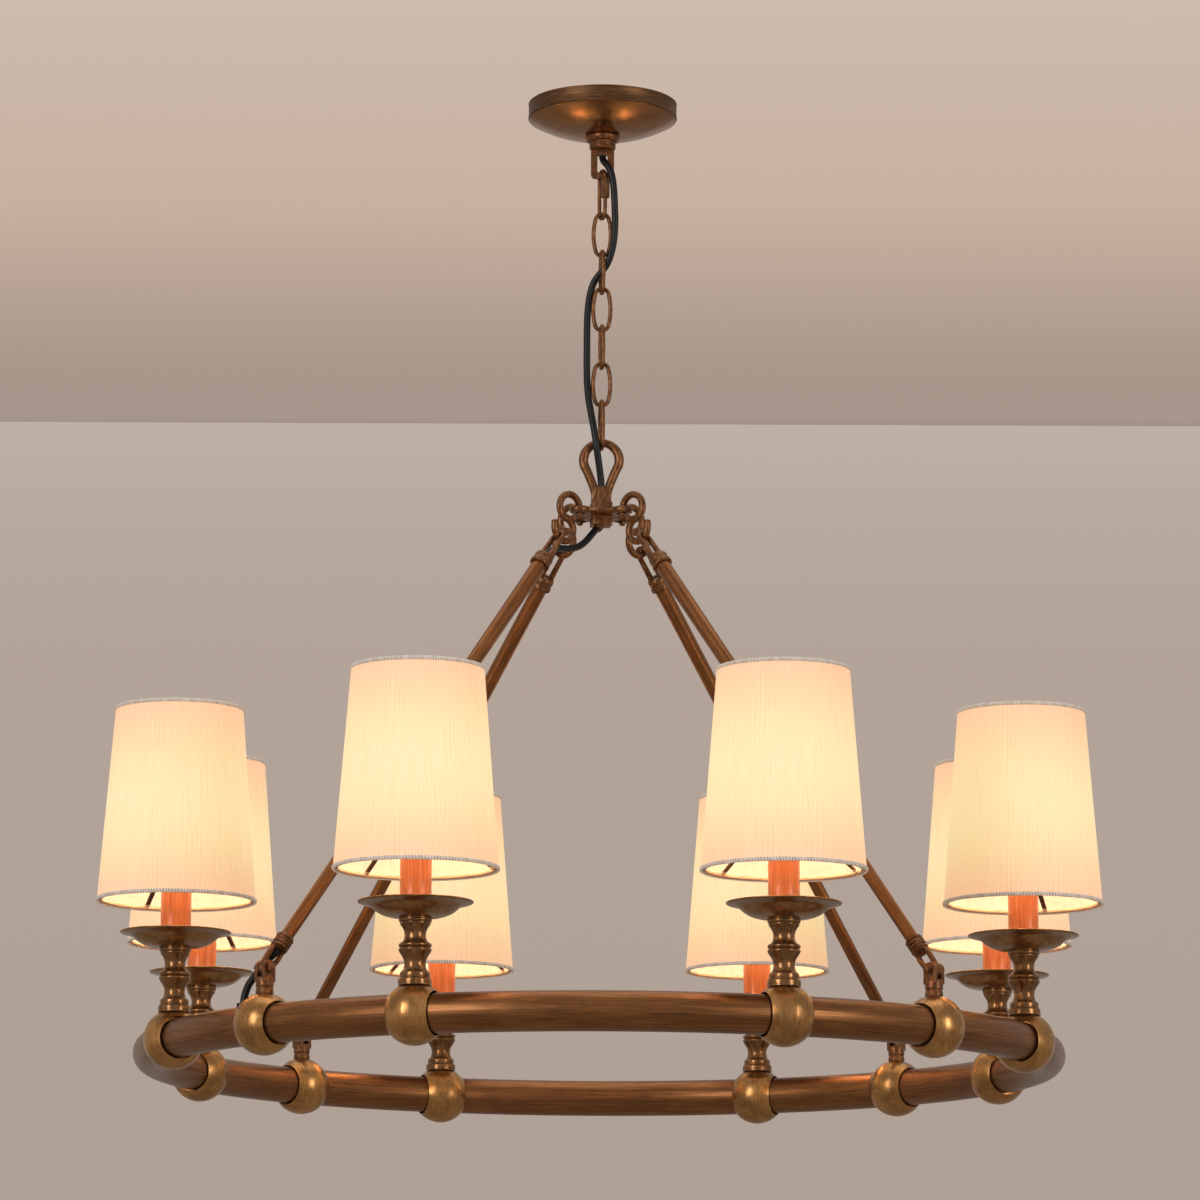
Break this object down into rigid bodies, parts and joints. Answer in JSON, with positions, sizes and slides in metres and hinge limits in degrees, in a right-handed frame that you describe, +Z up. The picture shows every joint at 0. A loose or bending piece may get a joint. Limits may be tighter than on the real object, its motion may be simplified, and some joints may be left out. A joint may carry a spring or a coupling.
{
  "type": "chandelier",
  "caption": "Ring chandelier with candle lamps under pleated drum shades, carried by slanting rods from a drilled hub that hangs on an oval link chain under a round ceiling canopy.",
  "frame": {"origin": "on the axis in the ceiling plane, which the crossbar and the rim of the canopy touch", "axes": "+Z up along the axis; -Y towards the front as pictured; +X to its right"},
  "size_m": [0.8286, 0.8286, 0.861],
  "materials": {
    "zinc": "satin zinc plate",
    "ivory": "moulded",
    "brass": "plain, turned",
    "rust": "brushed rusty bronze, semi-gloss",
    "bronze": "brown bronze with a brushed grain, semi-gloss",
    "gold": "aged gold with brushed highlights",
    "copper": "satin copper",
    "holder": "moulded",
    "frame": "dark coat",
    "cord": "smooth black sheath",
    "glass": "frosted, glowing",
    "fabric": "fine pleats, cream"
  },
  "bodies": {
    "ceiling_mount": {"crossbar": "zinc", "terminal_block": "ivory", "nipple": "brass", "stirrup_loop": "rust", "cord_chain": "cord"},
    "canopy": {"canopy_cover": "bronze", "ring_nut": "rust"},
    "quick_link": {"quick_link": "rust"},
    "quick_link_nut": {"quick_link_nut": "rust"},
    "link_1": {"link_1": "rust"},
    "link_2": {"link_2": "rust"},
    "link_3": {"link_3": "rust"},
    "link_4": {"link_4": "rust"},
    "link_5": {"link_5": "rust"},
    "link_6": {"link_6": "rust"},
    "hub": {"hub": "rust"},
    "ring": {"rods": "bronze", "rod_ends": "bronze", "clevises": "rust", "clevis_pins": "gold", "ring_tube": "bronze", "candle_balls": "gold", "rod_balls": "gold", "candle_stems": "brass", "balusters": "bronze", "drip_pans": "bronze", "candle_sleeves": "copper", "lampholders": "holder", "cord_hub": "cord", "cord_foot": "cord", "cord_grommet": "cord"},
    "s_hook_1": {"s_hook_1": "rust"},
    "s_hook_2": {"s_hook_2": "rust"},
    "s_hook_3": {"s_hook_3": "rust"},
    "s_hook_4": {"s_hook_4": "rust"},
    "shade_1": {"shade_1": "fabric", "shade_frame_1": "frame"},
    "bulb_1": {"bulb_1": "glass"},
    "shade_2": {"shade_2": "fabric", "shade_frame_2": "frame"},
    "bulb_2": {"bulb_2": "glass"},
    "shade_3": {"shade_3": "fabric", "shade_frame_3": "frame"},
    "bulb_3": {"bulb_3": "glass"},
    "shade_4": {"shade_4": "fabric", "shade_frame_4": "frame"},
    "bulb_4": {"bulb_4": "glass"},
    "shade_5": {"shade_5": "fabric", "shade_frame_5": "frame"},
    "bulb_5": {"bulb_5": "glass"},
    "shade_6": {"shade_6": "fabric", "shade_frame_6": "frame"},
    "bulb_6": {"bulb_6": "glass"},
    "shade_7": {"shade_7": "fabric", "shade_frame_7": "frame"},
    "bulb_7": {"bulb_7": "glass"},
    "shade_8": {"shade_8": "fabric", "shade_frame_8": "frame"},
    "bulb_8": {"bulb_8": "glass"}
  },
  "joints": [
    {"name": "canopy_drop", "type": "slide", "parent": "ceiling_mount", "child": "canopy", "axis": [0, 0, -1], "range_m": [0, 0.022]},
    {"name": "quick_link_swing", "type": "hinge", "parent": "ceiling_mount", "child": "quick_link", "pos_m": [0, 0, -0.0645], "axis": [1, 0, 0], "range_deg": [-8, 8], "deforming": ["cord_chain"]},
    {"name": "quick_link_nut_slide", "type": "slide", "parent": "quick_link", "child": "quick_link_nut", "axis": [0, 0, -1], "range_m": [0, 0.009]},
    {"name": "link_1_swing", "type": "hinge", "parent": "quick_link", "child": "link_1", "pos_m": [0, 0, -0.1028], "axis": [0, 1, 0], "range_deg": [-8, 8]},
    {"name": "link_2_swing", "type": "hinge", "parent": "link_1", "child": "link_2", "pos_m": [0, 0, -0.1363], "axis": [1, 0, 0], "range_deg": [-8, 8]},
    {"name": "link_3_swing", "type": "hinge", "parent": "link_2", "child": "link_3", "pos_m": [0, 0, -0.1697], "axis": [0, 1, 0], "range_deg": [-8, 8]},
    {"name": "link_4_swing", "type": "hinge", "parent": "link_3", "child": "link_4", "pos_m": [0, 0, -0.2031], "axis": [1, 0, 0], "range_deg": [-8, 8]},
    {"name": "link_5_swing", "type": "hinge", "parent": "link_4", "child": "link_5", "pos_m": [0, 0, -0.2365], "axis": [0, 1, 0], "range_deg": [-8, 8]},
    {"name": "link_6_swing", "type": "hinge", "parent": "link_5", "child": "link_6", "pos_m": [0, 0, -0.2699], "axis": [1, 0, 0], "range_deg": [-8, 8]},
    {"name": "hub_swing", "type": "hinge", "parent": "link_6", "child": "hub", "pos_m": [0, 0, -0.3086], "axis": [0, 1, 0], "range_deg": [-8, 8]},
    {"name": "ring_rock", "type": "hinge", "parent": "hub", "child": "ring", "pos_m": [0, 0, -0.33], "axis": [0, 1, 0], "range_deg": [-2.5, 2.5], "deforming": ["cord_hub"]},
    {"name": "s_hook_1_rock", "type": "hinge", "parent": "hub", "child": "s_hook_1", "pos_m": [0.01838, -0.01838, -0.366], "axis": [0, 1, 0], "range_deg": [-5.5, 5.5]},
    {"name": "s_hook_2_rock", "type": "hinge", "parent": "hub", "child": "s_hook_2", "pos_m": [0.01838, 0.01838, -0.366], "axis": [0, 1, 0], "range_deg": [-5.5, 5.5]},
    {"name": "s_hook_3_rock", "type": "hinge", "parent": "hub", "child": "s_hook_3", "pos_m": [-0.01838, 0.01838, -0.366], "axis": [0, 1, 0], "range_deg": [-5.5, 5.5]},
    {"name": "s_hook_4_rock", "type": "hinge", "parent": "hub", "child": "s_hook_4", "pos_m": [-0.01838, -0.01838, -0.366], "axis": [0, 1, 0], "range_deg": [-5.5, 5.5]},
    {"name": "shade_1_turn", "type": "hinge", "parent": "ring", "child": "shade_1", "pos_m": [0.14446, -0.34876, -0.6793], "axis": [0, 0, 1], "continuous": true},
    {"name": "shade_2_turn", "type": "hinge", "parent": "ring", "child": "shade_2", "pos_m": [0.34876, -0.14446, -0.6793], "axis": [0, 0, 1], "continuous": true},
    {"name": "shade_3_turn", "type": "hinge", "parent": "ring", "child": "shade_3", "pos_m": [0.34876, 0.14446, -0.6793], "axis": [0, 0, 1], "continuous": true},
    {"name": "shade_4_turn", "type": "hinge", "parent": "ring", "child": "shade_4", "pos_m": [0.14446, 0.34876, -0.6793], "axis": [0, 0, 1], "continuous": true},
    {"name": "shade_5_turn", "type": "hinge", "parent": "ring", "child": "shade_5", "pos_m": [-0.14446, 0.34876, -0.6793], "axis": [0, 0, 1], "continuous": true},
    {"name": "shade_6_turn", "type": "hinge", "parent": "ring", "child": "shade_6", "pos_m": [-0.34876, 0.14446, -0.6793], "axis": [0, 0, 1], "continuous": true},
    {"name": "shade_7_turn", "type": "hinge", "parent": "ring", "child": "shade_7", "pos_m": [-0.34876, -0.14446, -0.6793], "axis": [0, 0, 1], "continuous": true},
    {"name": "shade_8_turn", "type": "hinge", "parent": "ring", "child": "shade_8", "pos_m": [-0.14446, -0.34876, -0.6793], "axis": [0, 0, 1], "continuous": true},
    {"name": "bulb_1_turn", "type": "hinge", "parent": "ring", "child": "bulb_1", "pos_m": [0.14446, -0.34876, -0.6683], "axis": [0, 0, 1], "continuous": true},
    {"name": "bulb_2_turn", "type": "hinge", "parent": "ring", "child": "bulb_2", "pos_m": [0.34876, -0.14446, -0.6683], "axis": [0, 0, 1], "continuous": true},
    {"name": "bulb_3_turn", "type": "hinge", "parent": "ring", "child": "bulb_3", "pos_m": [0.34876, 0.14446, -0.6683], "axis": [0, 0, 1], "continuous": true},
    {"name": "bulb_4_turn", "type": "hinge", "parent": "ring", "child": "bulb_4", "pos_m": [0.14446, 0.34876, -0.6683], "axis": [0, 0, 1], "continuous": true},
    {"name": "bulb_5_turn", "type": "hinge", "parent": "ring", "child": "bulb_5", "pos_m": [-0.14446, 0.34876, -0.6683], "axis": [0, 0, 1], "continuous": true},
    {"name": "bulb_6_turn", "type": "hinge", "parent": "ring", "child": "bulb_6", "pos_m": [-0.34876, 0.14446, -0.6683], "axis": [0, 0, 1], "continuous": true},
    {"name": "bulb_7_turn", "type": "hinge", "parent": "ring", "child": "bulb_7", "pos_m": [-0.34876, -0.14446, -0.6683], "axis": [0, 0, 1], "continuous": true},
    {"name": "bulb_8_turn", "type": "hinge", "parent": "ring", "child": "bulb_8", "pos_m": [-0.14446, -0.34876, -0.6683], "axis": [0, 0, 1], "continuous": true}
  ],
  "couplings": [
    {"joint": "s_hook_1_rock", "follows": "ring_rock", "ratio": 2.15},
    {"joint": "s_hook_2_rock", "follows": "ring_rock", "ratio": 2.15},
    {"joint": "s_hook_3_rock", "follows": "ring_rock", "ratio": 2.15},
    {"joint": "s_hook_4_rock", "follows": "ring_rock", "ratio": 2.15}
  ]
}
